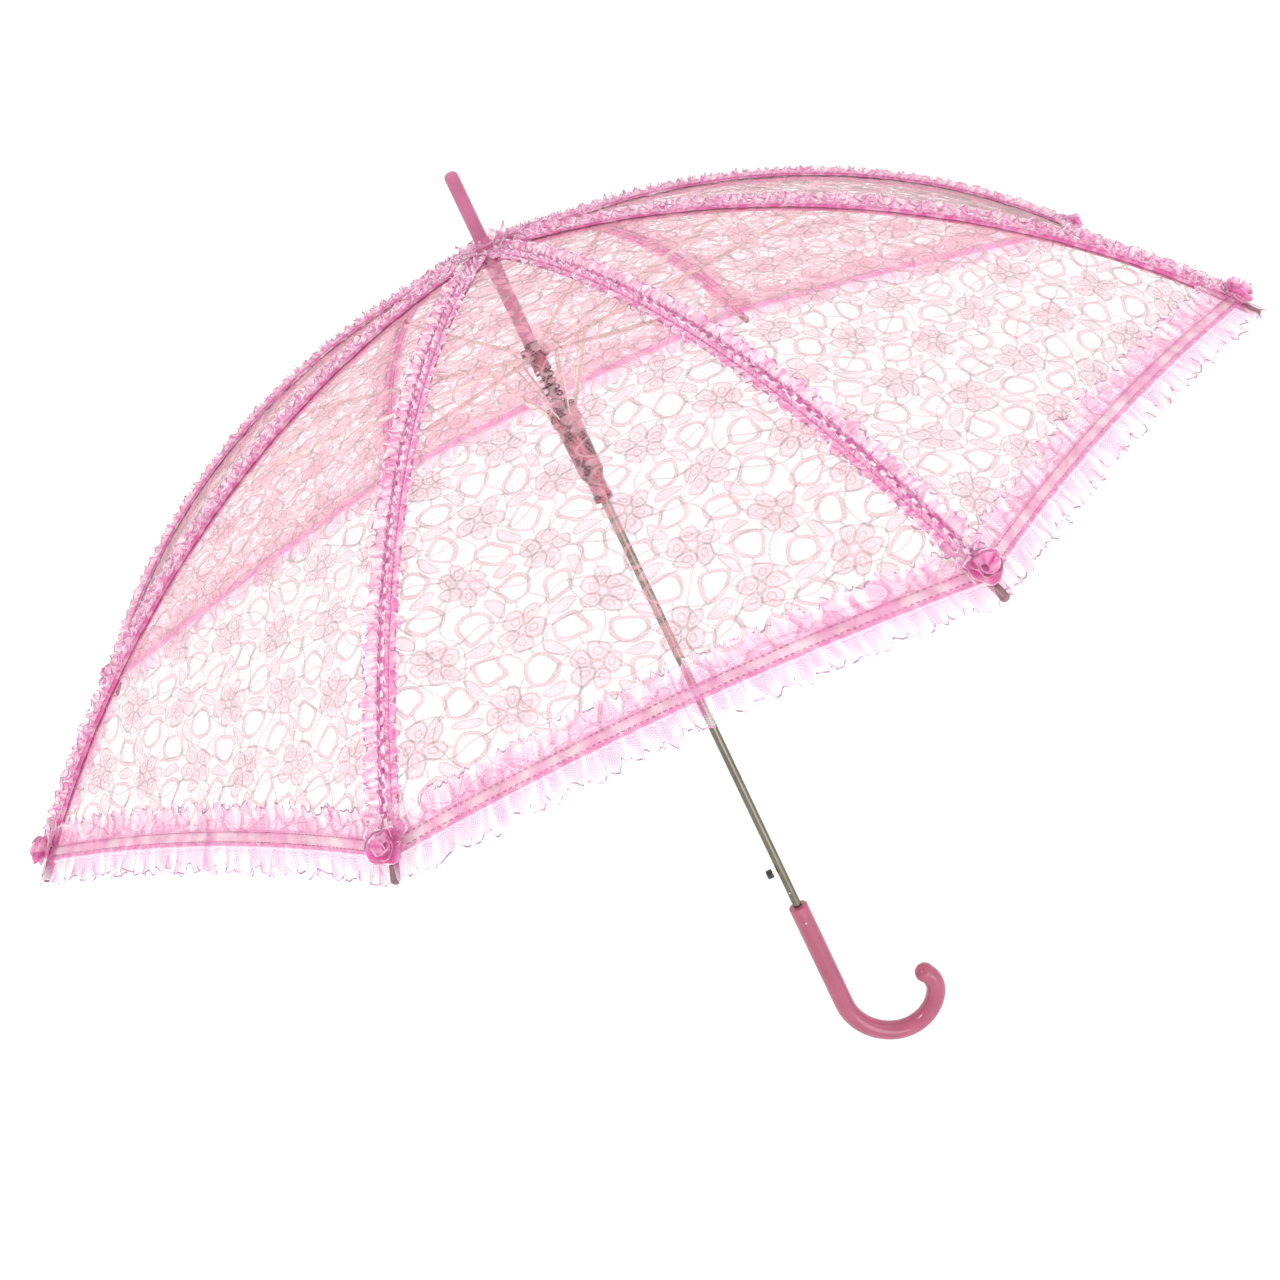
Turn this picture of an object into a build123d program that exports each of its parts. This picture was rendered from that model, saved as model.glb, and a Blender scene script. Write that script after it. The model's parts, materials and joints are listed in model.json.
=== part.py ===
from build123d import *
from math import acos, atan2, cos, degrees, hypot, radians, sin, sqrt
import os

# An eight-rib stick parasol with a crook handle. Millimetres, +Z up the shaft.
# The origin is on the shaft's axis at the top end of the handle; the hook opens towards +X.
# Everything is drawn open, which is the rest position.

# --- driving dimensions -------------------------------------------------------------------
CANOPY_RADIUS = 410.0        # shaft axis to a fabric corner
RIM_Z = 312.3                # height of the fabric corners
RIB_SAGITTA = 41.0           # bow of a rib above its own chord
RIB_COUNT = 8
FIRST_AZIMUTH = 22.5
HEM_RISE = 4.0               # how far the hem is cut back halfway between two ribs

SHAFT_R = 3.0
SHAFT_BORE_R = 2.5
SHAFT_BOTTOM_Z = -60.0
SHAFT_TOP_Z = 520.0
FIT = 0.08                   # radial clearance of a sleeve that slides on the shaft
SNUG = 0.02                  # radial clearance of a piece that is fixed on the shaft
WIRE_R = 0.5                 # ring wires that the ribs, stretchers and links hinge on

CROWN_PIVOT = (7.5, 497.3)   # radius and height of the rib hinges
CROWN_R = 9.0
RIB_HALF_WIDTH = 1.2
RIB_HALF_HEIGHT = 1.3
RIB_TAB_HALF_WIDTH = 0.8
CLOTH_GAP = 0.35             # from the top of a rib to the cloth
CLOTH_THICKNESS = 1.0
CLOTH_START = 3.6            # arc length from the hinge to the cloth's inner edge
HALF_GORE = 22.35            # half of a rib's share of the canopy, in degrees

UPPER_PIVOT = (7.0, 429.8)   # stretcher hinges on the upper runner
PIVOT_ON_RIB = 198.9         # radius of the pivot where a stretcher meets its rib
PIVOT_DROP = 1.2             # that pivot lies a little under the rib's centre line
SIDE_STEP = 2.2              # stretchers run beside their ribs by this much
STRETCHER_HALF_WIDTH = 0.5
STRETCHER_HALF_HEIGHT = 1.1
EYE_R = 1.7

LOWER_PIVOT = (8.5, 388.0)   # link hinges on the lower runner
LINK_REACH = 31.5            # from the stretcher's hinge to where its link meets it
LINK_HALF_WIDTH = 0.5
LOWER_TOP_Z = 392.6
LOWER_BOTTOM_Z = 325.0
UPPER_BOTTOM_Z = 420.0
UPPER_TOP_Z = 438.0

SPRING_R = 5.2               # centre of the spring's wire
SPRING_WIRE_R = 0.6
SPRING_TURNS = 6.5
SPRING_GAP = 0.1             # from each end turn to its runner

HANDLE_R = 6.9
HANDLE_TIP_R = 7.2
HANDLE_STRAIGHT = 86.0
HOOK_ARCS = ((40.0, 65.0), (30.0, 90.0), (17.0, 62.0))    # radius and sweep; the crook tightens to its tip

FERRULE_R = 4.5
FERRULE_TOP_Z = 553.5
FERRULE_FOOT_R = 7.0

CATCH_PIVOT = (-1.2, 13.0)
CATCH_PIN_R = 0.7
BUTTON_Z = 31.0
BUTTON_R = 3.2

AZIMUTHS = [FIRST_AZIMUTH + 360.0 / RIB_COUNT * i for i in range(RIB_COUNT)]


# --- the rib's arc ------------------------------------------------------------------------
def arc_data(start, end, sagitta):
    """Centre, radius and end angles of an arc that bows upwards between two points."""
    dx, dz = end[0] - start[0], end[1] - start[1]
    chord = hypot(dx, dz)
    radius = (chord**2 / 4 + sagitta**2) / (2 * sagitta)
    drop = radius - sagitta
    middle = ((start[0] + end[0]) / 2, (start[1] + end[1]) / 2)
    centre = (middle[0] + drop * dz / chord, middle[1] - drop * dx / chord)
    a0 = atan2(start[1] - centre[1], start[0] - centre[0])
    a1 = atan2(end[1] - centre[1], end[0] - centre[0])
    return centre, radius, a0, a1


ARC_CENTRE, ARC_R, ARC_START, ARC_END = arc_data(CROWN_PIVOT, (CANOPY_RADIUS, RIM_Z), RIB_SAGITTA)
RIB_LENGTH = ARC_R * (ARC_START - ARC_END)


def on_rib(length, offset=0.0):
    """Radius and height of the point so far along the rib, and so far above its centre line."""
    angle = ARC_START - length / ARC_R
    return (ARC_CENTRE[0] + (ARC_R + offset) * cos(angle), ARC_CENTRE[1] + (ARC_R + offset) * sin(angle))


def strip(begin, end, low, high, squeeze=1.0):
    """Face between two parallel arcs of the rib; squeeze narrows its radii, for a plane between ribs."""
    def point(length, offset):
        rho, z = on_rib(length, offset)
        return (rho * squeeze, z)

    middle = (begin + end) / 2
    top = ThreePointArc(point(begin, high), point(middle, high), point(end, high))
    bottom = ThreePointArc(point(begin, low), point(middle, low), point(end, low))
    return make_face([top, Line(top @ 1, bottom @ 1), bottom, Line(bottom @ 0, top @ 0)])


def upright(face, azimuth=0.0):
    """Stands a face drawn in radius and height up in the plane through the shaft at an azimuth."""
    return Rot(0, 0, azimuth) * (Plane.XZ * face)


def plate(face, low, high):
    """Solid of a face drawn in radius and height, from one lateral place to another."""
    return Pos(0, high, 0) * extrude(upright(face), high - low)


def rod_across(rho, z, radius, low, high):
    """Round rod along the lateral direction."""
    return plate(Pos(rho, z, 0) * Circle(radius), low, high)


def around(shape):
    """Copies of a shape at every rib's azimuth."""
    return [Rot(0, 0, azimuth) * shape for azimuth in AZIMUTHS]


def tube(radius, bottom, top):
    """Upright cylinder on the shaft's axis."""
    return Pos(0, 0, (bottom + top) / 2) * Cylinder(radius, top - bottom)


def turned(points):
    """Solid of revolution about the shaft, from its half outline in radius and height."""
    return revolve(Plane.XZ * make_face(Polyline(*points, close=True)), Axis.Z)


def ring_wire(radius, z, wire_radius):
    return Pos(0, 0, z) * Torus(radius, wire_radius)


# --- ribs, tips and canopy ----------------------------------------------------------------
TAB_LENGTH = 12.0
RIB_OVERRUN = 7.0
GROOVE_HALF_WIDTH = 0.7
GROOVE_TOP = 0.3
RIB_HOLE_R = 0.62
TIP_R = 2.5
TIP_LENGTH = 12.0
TIP_GAP = 0.6


def make_rib():
    channel = plate(strip(TAB_LENGTH - 2, RIB_LENGTH + RIB_OVERRUN, -RIB_HALF_HEIGHT, RIB_HALF_HEIGHT),
                    -RIB_HALF_WIDTH, RIB_HALF_WIDTH)
    groove = plate(strip(TAB_LENGTH + 2, RIB_LENGTH - 1, -2 * RIB_HALF_HEIGHT, GROOVE_TOP),
                   -GROOVE_HALF_WIDTH, GROOVE_HALF_WIDTH)
    tab = plate(strip(0, TAB_LENGTH, -STRETCHER_HALF_HEIGHT, STRETCHER_HALF_HEIGHT),
                -RIB_TAB_HALF_WIDTH, RIB_TAB_HALF_WIDTH)
    eye = rod_across(*CROWN_PIVOT, EYE_R, -RIB_TAB_HALF_WIDTH, RIB_TAB_HALF_WIDTH)
    hole = rod_across(*CROWN_PIVOT, RIB_HOLE_R, -RIB_HALF_WIDTH, RIB_HALF_WIDTH)
    return channel - groove + tab + eye - hole


def make_tip(rib):
    begin = on_rib(RIB_LENGTH + TIP_GAP)
    slope = degrees(ARC_START - (RIB_LENGTH + TIP_LENGTH / 2) / ARC_R) - 90
    cap = Pos(0, 0, TIP_LENGTH / 2) * Cylinder(TIP_R, TIP_LENGTH)
    cap = fillet(cap.edges().filter_by(GeomType.CIRCLE).sort_by(Axis.Z)[-1], TIP_R - 0.4)
    cap = Pos(begin[0], 0, begin[1]) * Rot(0, 90 - slope, 0) * cap
    return cap - rib


def make_sector():
    """Half of the gore on each side of a rib, as one thin creased sheet."""
    low = RIB_HALF_HEIGHT + CLOTH_GAP
    high = low + CLOTH_THICKNESS
    narrow = cos(radians(HALF_GORE))
    side = strip(CLOTH_START, RIB_LENGTH - HEM_RISE, low, high, narrow)
    crease = strip(CLOTH_START, RIB_LENGTH, low, high)
    sections = [upright(side, -HALF_GORE), upright(crease), upright(side, HALF_GORE)]
    return loft(sections, ruled=True)


# --- stretchers and links -----------------------------------------------------------------
def length_at(rho):
    """Arc length along the rib at a given radius from the shaft."""
    return ARC_R * (ARC_START - acos((rho - ARC_CENTRE[0]) / ARC_R))


RIB_PIVOT = on_rib(length_at(PIVOT_ON_RIB), -PIVOT_DROP)
STRETCHER_LENGTH = hypot(RIB_PIVOT[0] - UPPER_PIVOT[0], RIB_PIVOT[1] - UPPER_PIVOT[1])
STRETCHER_ANGLE = atan2(RIB_PIVOT[1] - UPPER_PIVOT[1], RIB_PIVOT[0] - UPPER_PIVOT[0])
LINK_PIVOT = (UPPER_PIVOT[0] + LINK_REACH * cos(STRETCHER_ANGLE),
              UPPER_PIVOT[1] + LINK_REACH * sin(STRETCHER_ANGLE))
WIRE_HOLE_R = 0.8
RIVET_R = 0.9
RIVET_HEAD_R = 1.3
RIVET_HEAD_HEIGHT = 0.5
RIVET_GAP = 0.15


def bar(start, end, half_height, low, high):
    """Flat bar with a round eye at each end, in a plane beside the rib."""
    length = hypot(end[0] - start[0], end[1] - start[1])
    angle = degrees(atan2(end[1] - start[1], end[0] - start[0]))
    middle = ((start[0] + end[0]) / 2, (start[1] + end[1]) / 2)
    web = Pos(*middle, 0) * Rot(0, 0, angle) * Rectangle(length, 2 * half_height)
    return (plate(web, low, high) + rod_across(*start, EYE_R, low, high)
            + rod_across(*end, EYE_R, low, high))


def make_stretcher():
    low, high = SIDE_STEP - STRETCHER_HALF_WIDTH, SIDE_STEP + STRETCHER_HALF_WIDTH
    blade = bar(UPPER_PIVOT, RIB_PIVOT, STRETCHER_HALF_HEIGHT, low, high)
    shank = rod_across(*RIB_PIVOT, RIVET_R, RIB_HALF_WIDTH + RIVET_GAP, high)
    head = rod_across(*RIB_PIVOT, RIVET_HEAD_R, high, high + RIVET_HEAD_HEIGHT)
    hole = rod_across(*UPPER_PIVOT, WIRE_HOLE_R, low - 1, high + 1)
    return blade + shank + head - hole


def make_link():
    blade = bar(LOWER_PIVOT, LINK_PIVOT, STRETCHER_HALF_HEIGHT, -LINK_HALF_WIDTH, LINK_HALF_WIDTH)
    shank = rod_across(*LINK_PIVOT, RIVET_R, LINK_HALF_WIDTH,
                       SIDE_STEP - STRETCHER_HALF_WIDTH - RIVET_GAP)
    hole = rod_across(*LOWER_PIVOT, RIB_HOLE_R, -1, 1)
    return blade + shank - hole


# --- crown, sleeves and runners -----------------------------------------------------------
SLOT_OUTER_R = 20.0
CROWN_BOTTOM_Z, CROWN_TOP_Z = 492.3, 499.2
SLEEVE_TOP_R, SLEEVE_BOTTOM_R = 5.0, 4.4
SLEEVE_BOTTOM_Z = UPPER_TOP_Z + 0.4
RIVET_PIN_R = 0.8
NOTCH_RIVET_Z, NOTCH_RIVET_HALF = 494.2, 5.4
SLEEVE_RIVET_Z, SLEEVE_RIVET_HALF = 470.0, 4.6
WIRE_GROOVE_R = 0.55
CUT = 1.0                    # how far a cut runs past the faces that it opens
CROWN_SLOT = (5.6, 1.1)      # radius of the slots' floor, and half their width
UPPER_SLOT = (5.2, 0.9)
LOWER_SLOT = (6.4, 0.85)
UPPER_WIRE_R = sqrt(UPPER_PIVOT[0]**2 + SIDE_STEP**2)
UPPER_SKIRT_R, UPPER_FLANGE_R = 5.6, 8.6
KEYWAY_DEPTH, KEYWAY_WIDTH, KEYWAY_LENGTH = 4.95, 2.2, 23.0


def slots(size, middle, bottom, top):
    """Slots for the hinged eyes, one under each rib, a little to the side of it where the eyes are."""
    floor, half_width = size
    block = Pos((floor + SLOT_OUTER_R) / 2, middle, (bottom + top) / 2)
    return around(block * Box(SLOT_OUTER_R - floor, 2 * half_width, top - bottom))


def cross_rivet(z, half_length, radius=RIVET_PIN_R):
    """Rivet straight through the shaft, along Y."""
    return Pos(0, 0, z) * Rot(90, 0, 0) * Cylinder(radius, 2 * half_length)


def make_crown_notch():
    bottom, top = CROWN_BOTTOM_Z - CUT, CROWN_TOP_Z + CUT
    body = tube(CROWN_R, CROWN_BOTTOM_Z, CROWN_TOP_Z) - tube(SHAFT_R + SNUG, bottom, top)
    body -= slots(CROWN_SLOT, 0, bottom, top)
    return body - ring_wire(*CROWN_PIVOT, WIRE_GROOVE_R) - cross_rivet(NOTCH_RIVET_Z, NOTCH_RIVET_HALF)


def make_stop_sleeve():
    body = turned([(SHAFT_R + SNUG, SLEEVE_BOTTOM_Z), (SLEEVE_BOTTOM_R, SLEEVE_BOTTOM_Z),
                   (SLEEVE_TOP_R, CROWN_BOTTOM_Z), (SHAFT_R + SNUG, CROWN_BOTTOM_Z)])
    return body - cross_rivet(SLEEVE_RIVET_Z, SLEEVE_TOP_R)


def make_ferrule():
    outline = [(0, FERRULE_TOP_Z), (FERRULE_R, FERRULE_TOP_Z), (FERRULE_R, 509), (4.9, 508),
               (FERRULE_FOOT_R, 502.5), (FERRULE_FOOT_R, CROWN_TOP_Z), (SHAFT_R + SNUG, CROWN_TOP_Z),
               (SHAFT_R + SNUG, SHAFT_TOP_Z), (0, SHAFT_TOP_Z)]
    spike = turned(outline)
    top_edge = spike.edges().filter_by(GeomType.CIRCLE).sort_by(Axis.Z)[-1]
    return fillet(top_edge, FERRULE_R - 0.8)


def make_crown_rosette():
    """Soft ring of gathered frill round the foot of the ferrule."""
    inner = FERRULE_FOOT_R + 0.1
    return turned([(inner, 501.2), (17, 501.2), (17, 504), (12, 508), (inner, 508)])


def make_upper_runner():
    flange_low, flange_high = UPPER_PIVOT[1] - 3.2, UPPER_PIVOT[1] + 4.2
    bore = SHAFT_R + FIT
    body = turned([(bore, UPPER_BOTTOM_Z), (UPPER_SKIRT_R, UPPER_BOTTOM_Z), (UPPER_SKIRT_R, flange_low),
                   (UPPER_FLANGE_R, flange_low), (UPPER_FLANGE_R, flange_high), (5.0, flange_high),
                   (4.6, UPPER_TOP_Z), (bore, UPPER_TOP_Z)])
    body -= slots(UPPER_SLOT, SIDE_STEP, UPPER_PIVOT[1] - 2.2, UPPER_TOP_Z + CUT)
    return body - ring_wire(UPPER_WIRE_R, UPPER_PIVOT[1], WIRE_GROOVE_R)


def make_lower_runner():
    bore = SHAFT_R + FIT
    body = turned([(bore, LOWER_BOTTOM_Z), (6.5, LOWER_BOTTOM_Z), (6.5, 328.5), (5.8, 329), (5.8, 339),
                   (8.2, 344.5), (8.6, 379), (10, 381), (10, LOWER_TOP_Z), (bore, LOWER_TOP_Z)])
    body -= slots(LOWER_SLOT, 0, LOWER_PIVOT[1] - 2.3, LOWER_TOP_Z + CUT)
    keyway = Pos(-KEYWAY_DEPTH / 2, 0, LOWER_BOTTOM_Z + KEYWAY_LENGTH / 2)
    body -= keyway * Box(KEYWAY_DEPTH, KEYWAY_WIDTH, KEYWAY_LENGTH)
    return body - ring_wire(*LOWER_PIVOT, WIRE_GROOVE_R)


def make_spring():
    low = LOWER_TOP_Z + SPRING_WIRE_R + SPRING_GAP
    height = UPPER_BOTTOM_Z - SPRING_WIRE_R - SPRING_GAP - low
    path = Helix(pitch=height / SPRING_TURNS, height=height, radius=SPRING_R)
    section = Plane(origin=path @ 0, z_dir=path % 0) * Circle(SPRING_WIRE_R)
    return Pos(0, 0, low) * sweep(section, path=path)


# --- shaft, handle and catch --------------------------------------------------------------
CATCH_SLOT = (9.0, 51.0)
CATCH_SLOT_HALF_WIDTH = 0.9
CATCH_HALF_WIDTH = 0.6
HANDLE_PIN_Z = -12.0


def make_shaft():
    body = tube(SHAFT_R, SHAFT_BOTTOM_Z, SHAFT_TOP_Z) - tube(SHAFT_BORE_R, SHAFT_BOTTOM_Z, SHAFT_TOP_Z)
    low, high = CATCH_SLOT
    body -= Pos(-SHAFT_R, 0, (low + high) / 2) * Box(2 * SHAFT_R, 2 * CATCH_SLOT_HALF_WIDTH, high - low)
    body -= catch_pin()
    for z in (NOTCH_RIVET_Z, SLEEVE_RIVET_Z, HANDLE_PIN_Z):
        body -= cross_rivet(z, SHAFT_R + CUT)
    return body


def hook_path():
    """Centre line of the crook: arcs below the grip, each going on in the direction of the last."""
    x, z, heading = 0.0, -HANDLE_STRAIGHT, radians(-90)
    arcs = []
    for radius, degrees_swept in HOOK_ARCS:
        centre = (x - radius * sin(heading), z + radius * cos(heading))
        points = []
        for share in (0, 0.5, 1):
            turn = heading + share * radians(degrees_swept)
            points.append((centre[0] + radius * sin(turn), 0, centre[1] - radius * cos(turn)))
        arcs.append(ThreePointArc(*points))
        x, z, heading = points[-1][0], points[-1][2], heading + radians(degrees_swept)
    return Wire([Line((0, 0, 0), (0, 0, -HANDLE_STRAIGHT)), *arcs])


def make_handle():
    path = hook_path()
    grip = sweep(Circle(HANDLE_R), path=path) + Pos(*(path @ 1)) * Sphere(HANDLE_TIP_R)
    top_edge = grip.edges().filter_by(GeomType.CIRCLE).sort_by(Axis.Z)[-1]
    grip = fillet(top_edge, 1.0)
    bore = tube(SHAFT_R + SNUG, SHAFT_BOTTOM_Z, HANDLE_R)
    return grip - bore - cross_rivet(HANDLE_PIN_Z, HANDLE_R + CUT)


def make_handle_pin():
    return cross_rivet(HANDLE_PIN_Z, HANDLE_R - 0.15)


def catch_pin():
    return rod_across(*CATCH_PIVOT, CATCH_PIN_R, -3.5, 3.5)


def make_catch_lever():
    outline = [(-2.3, 11), (-0.1, 11), (-0.3, 18), (-0.9, 30), (-1.1, 47), (-2.0, 49.5), (-4.6, 44.5),
               (-4.6, 41), (-3.0, 37), (-2.9, 32.6), (-6.6, 32.6), (-6.6, 29.4), (-2.8, 29.4), (-2.6, 18)]
    blade = plate(make_face(Polyline(*outline, close=True)), -CATCH_HALF_WIDTH, CATCH_HALF_WIDTH)
    eye = rod_across(*CATCH_PIVOT, EYE_R, -CATCH_HALF_WIDTH, CATCH_HALF_WIDTH)
    return blade + eye - rod_across(*CATCH_PIVOT, CATCH_PIN_R + FIT, -1, 1)


def make_catch_button(lever):
    cap = Pos(-8.2, 0, BUTTON_Z) * Rot(0, 90, 0) * Cylinder(BUTTON_R, 4.4)
    cap = fillet(cap.edges().filter_by(GeomType.CIRCLE).sort_by(Axis.X)[0], 1.2)
    return cap - lever


# --- export -------------------------------------------------------------------------------
def make_parts():
    rib, lever = make_rib(), make_catch_lever()
    repeated = {
        "rib": rib,
        "rib_tip": make_tip(rib),
        "canopy_sector": make_sector(),
        "stretcher": make_stretcher(),
        "link": make_link(),
    }
    parts = {f"{name}_{number}": Rot(0, 0, azimuth) * shape
             for name, shape in repeated.items()
             for number, azimuth in enumerate(AZIMUTHS, start=1)}
    parts.update({
        "shaft_tube": make_shaft(),
        "crook_handle": make_handle(),
        "handle_pin": make_handle_pin(),
        "top_ferrule": make_ferrule(),
        "crown_notch": make_crown_notch(),
        "crown_ring_wire": ring_wire(*CROWN_PIVOT, WIRE_R),
        "crown_rosette": make_crown_rosette(),
        "stop_sleeve": make_stop_sleeve(),
        "notch_rivet": cross_rivet(NOTCH_RIVET_Z, NOTCH_RIVET_HALF),
        "sleeve_rivet": cross_rivet(SLEEVE_RIVET_Z, SLEEVE_RIVET_HALF),
        "upper_runner": make_upper_runner(),
        "upper_ring_wire": ring_wire(UPPER_WIRE_R, UPPER_PIVOT[1], WIRE_R),
        "lower_runner": make_lower_runner(),
        "lower_ring_wire": ring_wire(*LOWER_PIVOT, WIRE_R),
        "runner_spring": make_spring(),
        "catch_pin": catch_pin(),
        "catch_lever": lever,
        "catch_button": make_catch_button(lever),
    })
    return parts


os.makedirs("parts", exist_ok=True)
for part_name, shape in make_parts().items():
    export_step(shape, f"parts/{part_name}.step")
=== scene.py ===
import json
from math import atan2, cos, hypot, pi, sin

import bpy
import numpy as np
from mathutils import Matrix, Vector


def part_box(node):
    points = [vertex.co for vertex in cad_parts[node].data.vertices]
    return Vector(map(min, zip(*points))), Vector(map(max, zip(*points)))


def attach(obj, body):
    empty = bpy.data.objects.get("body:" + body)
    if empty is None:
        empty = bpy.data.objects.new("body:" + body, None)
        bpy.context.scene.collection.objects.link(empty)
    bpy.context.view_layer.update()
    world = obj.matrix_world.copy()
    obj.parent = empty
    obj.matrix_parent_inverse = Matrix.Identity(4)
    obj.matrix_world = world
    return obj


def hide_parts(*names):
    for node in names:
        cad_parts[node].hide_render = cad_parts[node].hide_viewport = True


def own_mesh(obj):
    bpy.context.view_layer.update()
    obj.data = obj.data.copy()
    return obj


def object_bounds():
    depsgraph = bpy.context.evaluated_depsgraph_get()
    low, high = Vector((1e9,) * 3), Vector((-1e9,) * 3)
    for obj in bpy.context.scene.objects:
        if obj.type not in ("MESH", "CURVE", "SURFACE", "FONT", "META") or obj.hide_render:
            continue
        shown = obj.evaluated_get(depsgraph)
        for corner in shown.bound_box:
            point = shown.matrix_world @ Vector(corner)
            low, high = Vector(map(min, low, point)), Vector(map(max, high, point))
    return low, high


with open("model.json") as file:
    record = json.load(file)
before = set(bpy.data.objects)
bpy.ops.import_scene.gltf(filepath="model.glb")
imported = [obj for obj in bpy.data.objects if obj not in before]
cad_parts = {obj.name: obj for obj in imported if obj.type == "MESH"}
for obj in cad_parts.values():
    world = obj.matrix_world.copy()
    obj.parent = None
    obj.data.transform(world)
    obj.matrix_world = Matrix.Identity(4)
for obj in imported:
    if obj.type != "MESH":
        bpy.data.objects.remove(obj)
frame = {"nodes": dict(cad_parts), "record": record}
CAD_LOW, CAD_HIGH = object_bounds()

# The lace, seam tapes, frills and finishes of the parasol. Metres, in the frame of the CAD model:
# +Z up the shaft, origin where the handle begins. A point of the cover is given in the frame of a rib
# or a gore, as an arc length along the rib from its hinge and a share of the way to the next rib.

# --- sizes --------------------------------------------------------------------------------
MM = 0.001
RIB_COUNT = 8
GORE = 2 * pi / RIB_COUNT
FIRST_AZIMUTH = GORE / 2
CANOPY_RADIUS = 410 * MM
RIM_Z = 312.3 * MM
RIB_SAGITTA = 41 * MM
CROWN_PIVOT = (7.5 * MM, 497.3 * MM)
HEM_RISE = 8 * MM             # how far the hem is cut back halfway between two ribs
COVER_START = 4.0 * MM        # arc length at which the cloth starts, just outside the crown
GORE_SAG = 2.0 * MM           # the cloth is pulled in a little between the ribs

NET_LIFT = 2.0 * MM           # heights above the rib's centre line
MOTIF_LIFT = 2.35 * MM
TAPE_LIFT = 3.2 * MM
INNER_LIFT = 1.7 * MM
FRILL_LIFT = 3.6 * MM

TAPE_HALF_WIDTH = 5.8 * MM
TAPE_CROWN = 1.2 * MM         # how far the tape's middle stands up over the seam
TAPE_STITCH_PLACE = 0.62      # share of the tape's half width
HEM_BAND = 9 * MM
HEM_STITCH_INSETS = (1.8 * MM, 7.2 * MM)
STITCH_PITCH = 3.2 * MM
STITCH_HALF_WIDTH = 0.45 * MM
PIPING_PITCH = 7.5 * MM       # pale and dark dashes along the middle of each seam
PIPING_HALF_WIDTH = 0.9 * MM
RIB_FRILL_WIDTH = 6.8 * MM
HEM_FRILL_WIDTH = 14 * MM
UPPER_FRILL_SHARE = 0.9       # width of the frill above the hem band, to that of the one below
GATHER = 1.8                  # length of a frill's strip to the length of the seam that it is gathered on
POINTS_PER_FOLD = 9


# --- the surface of the cover -------------------------------------------------------------
def rib_arc():
    """Centre, radius and starting angle of a rib's arc."""
    dx, dz = CANOPY_RADIUS - CROWN_PIVOT[0], RIM_Z - CROWN_PIVOT[1]
    chord = hypot(dx, dz)
    radius = (chord**2 / 4 + RIB_SAGITTA**2) / (2 * RIB_SAGITTA)
    drop = radius - RIB_SAGITTA
    middle = ((CANOPY_RADIUS + CROWN_PIVOT[0]) / 2, (RIM_Z + CROWN_PIVOT[1]) / 2)
    centre = (middle[0] + drop * dz / chord, middle[1] - drop * dx / chord)
    start = atan2(CROWN_PIVOT[1] - centre[1], CROWN_PIVOT[0] - centre[0])
    end = atan2(RIM_Z - centre[1], CANOPY_RADIUS - centre[0])
    return centre, radius, start, radius * (start - end)


ARC_CENTRE, ARC_RADIUS, ARC_START, RIB_LENGTH = rib_arc()


def rib_point(along, lift):
    """Radius and height of points along a rib, lifted off its centre line."""
    angle = ARC_START - np.asarray(along, float) / ARC_RADIUS
    reach = ARC_RADIUS + np.asarray(lift, float)
    return ARC_CENTRE[0] + reach * np.cos(angle), ARC_CENTRE[1] + reach * np.sin(angle)


def half_width(along):
    """Half the width of a gore at an arc length along its ribs."""
    return rib_point(along, NET_LIFT)[0] * sin(GORE / 2)


def cover(across, along, lift):
    """Points of the cover in a rib's frame: across is 0 at the rib, 1 halfway to the next, 2 at the next."""
    across = np.asarray(across, float)
    rho, z = rib_point(along, lift)
    share = np.abs(across) / 2
    sag = GORE_SAG * np.clip(1 - (1 - np.abs(across))**2, 0, 1) * rho / CANOPY_RADIUS
    x = rho * (1 - share * (1 - cos(GORE)))
    y = np.sign(across) * rho * share * sin(GORE)
    slope = (np.asarray(along, float) / ARC_RADIUS) + (pi / 2 - ARC_START)
    return np.stack([x - sag * np.sin(slope), y, z - sag * np.cos(slope)], -1)


def hem_at(across):
    """Arc length of the hem, which curves in between the ribs."""
    return RIB_LENGTH - HEM_RISE * (1 - (1 - np.abs(across))**2)


def turned(points, azimuth):
    """Points turned round the shaft by an angle."""
    c, s = cos(azimuth), sin(azimuth)
    return points @ np.array([[c, s, 0], [-s, c, 0], [0, 0, 1]])


def azimuth_of(number):
    """Direction of a rib, as an angle from +X."""
    return FIRST_AZIMUTH + GORE * (number - 1)


def wave(s, seed, size=1.0):
    """Smooth, repeatable unevenness between about -1 and 1, with features of a given length."""
    r = np.random.RandomState(seed)
    total = np.zeros_like(np.asarray(s, float))
    for octave in range(4):
        total += np.sin(np.asarray(s) * 2 * pi * 1.7**octave / size + r.uniform(0, 2 * pi)) / 1.5**octave
    return total / 2.2


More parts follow.
